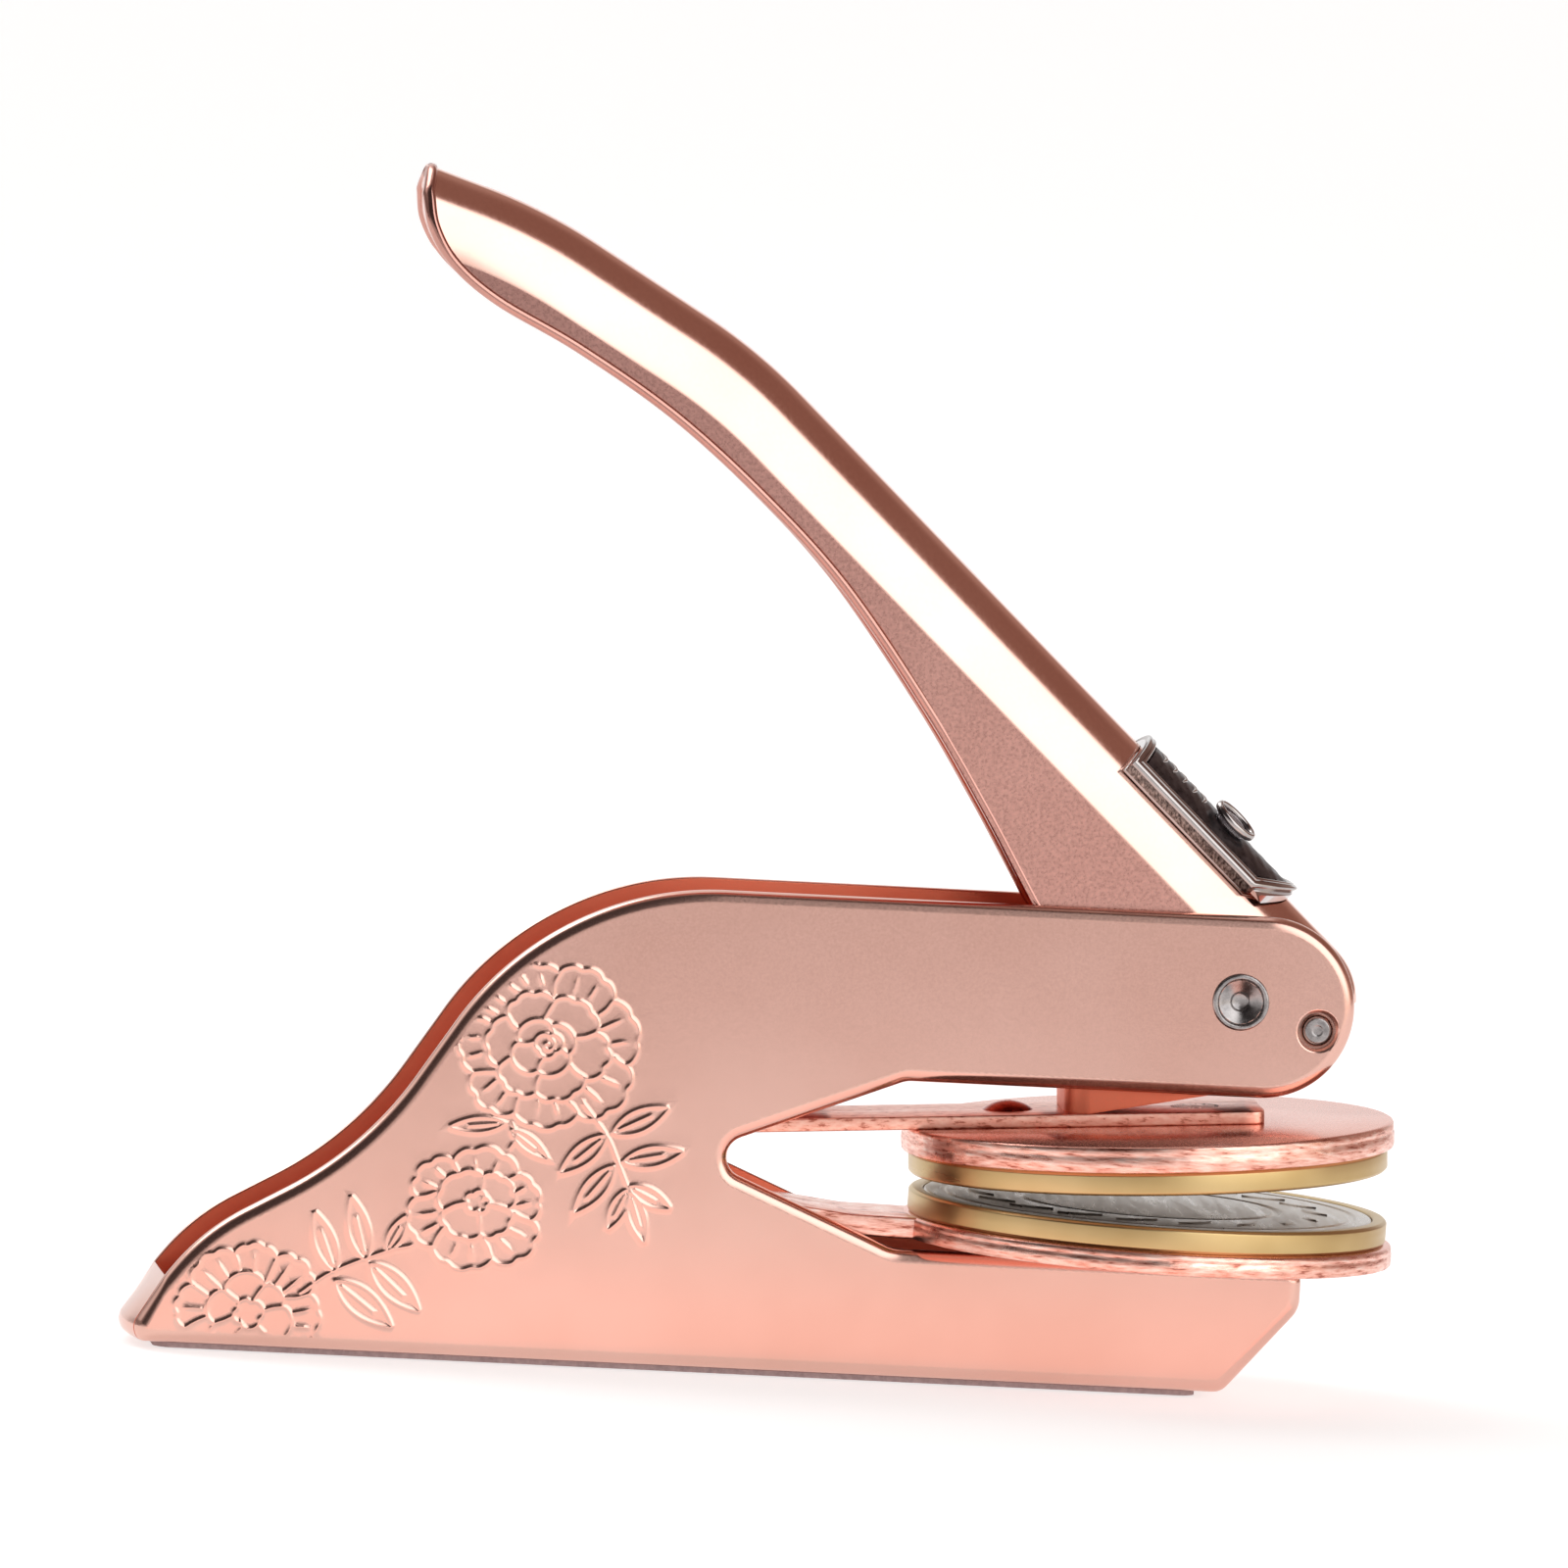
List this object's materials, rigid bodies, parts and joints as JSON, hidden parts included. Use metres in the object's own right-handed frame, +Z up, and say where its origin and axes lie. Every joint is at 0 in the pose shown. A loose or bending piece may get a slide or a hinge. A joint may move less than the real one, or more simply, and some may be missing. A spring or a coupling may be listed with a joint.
{
  "type": "hand embosser",
  "caption": "Hand embossing press: a long lever pivots in a C-shaped cast frame and pushes a sprung upper die onto a fixed lower die to raise a round seal in paper.",
  "frame": {"origin": "centre of the footprint's bounding box, on the surface the base stands on", "axes": "+X from the tail to the nose and dies, +Y across the width, +Z up"},
  "size_m": [0.1347, 0.0524, 0.1261],
  "materials": {
    "rose_enamel": "glossy",
    "rose_satin": "satin",
    "rose_sheet": "satin",
    "spring_steel": "satin",
    "brass": "polished",
    "engraved_zinc": "satin",
    "chrome": "polished",
    "pin_steel": "satin",
    "rivet_red": "satin",
    "base_rubber": "matte",
    "dark_inlay": "satin",
    "gem_glass": "polished"
  },
  "bodies": {
    "frame": {"body_frame": "rose_enamel", "base_pad": "base_rubber", "pivot_rivet": "chrome", "pivot_spacer": "pin_steel", "stop_pin": "pin_steel", "clip_lower_plate": "rose_sheet", "clip_spacer": "pin_steel", "clip_rear_rivets": "rivet_red", "clip_screws": "pin_steel", "lower_die_cup": "brass", "lower_die_insert": "engraved_zinc"},
    "lever": {"handle": "rose_enamel", "pusher_pin": "pin_steel", "badge_plate": "chrome", "badge_frame": "chrome", "badge_inlay": "dark_inlay", "badge_bezel": "chrome", "badge_gem": "gem_glass", "badge_studs": "chrome"},
    "upper_jaw": {"clip_leaf_spring": "spring_steel", "upper_pad": "rose_sheet", "upper_die_cup": "brass", "upper_die_insert": "engraved_zinc", "leaf_rivet": "rivet_red", "leaf_flush_rivet": "pin_steel", "pressure_block": "rose_satin"}
  },
  "joints": [
    {"name": "handle_press", "type": "hinge", "parent": "frame", "child": "lever", "pos_m": [0.0489, 0, 0.0423], "axis": [0, -1, 0], "range_deg": [0, 20], "stiffness_Nm_per_rad": 0.55, "springref_deg": -14.32},
    {"name": "upper_die_close", "type": "hinge", "parent": "frame", "child": "upper_jaw", "pos_m": [0.002, 0, 0.0265], "axis": [0, 1, 0], "range_deg": [0, 4.5], "deforming": ["clip_leaf_spring"]}
  ],
  "couplings": [
    {"joint": "upper_die_close", "follows": "handle_press", "ratio": 0.225}
  ]
}
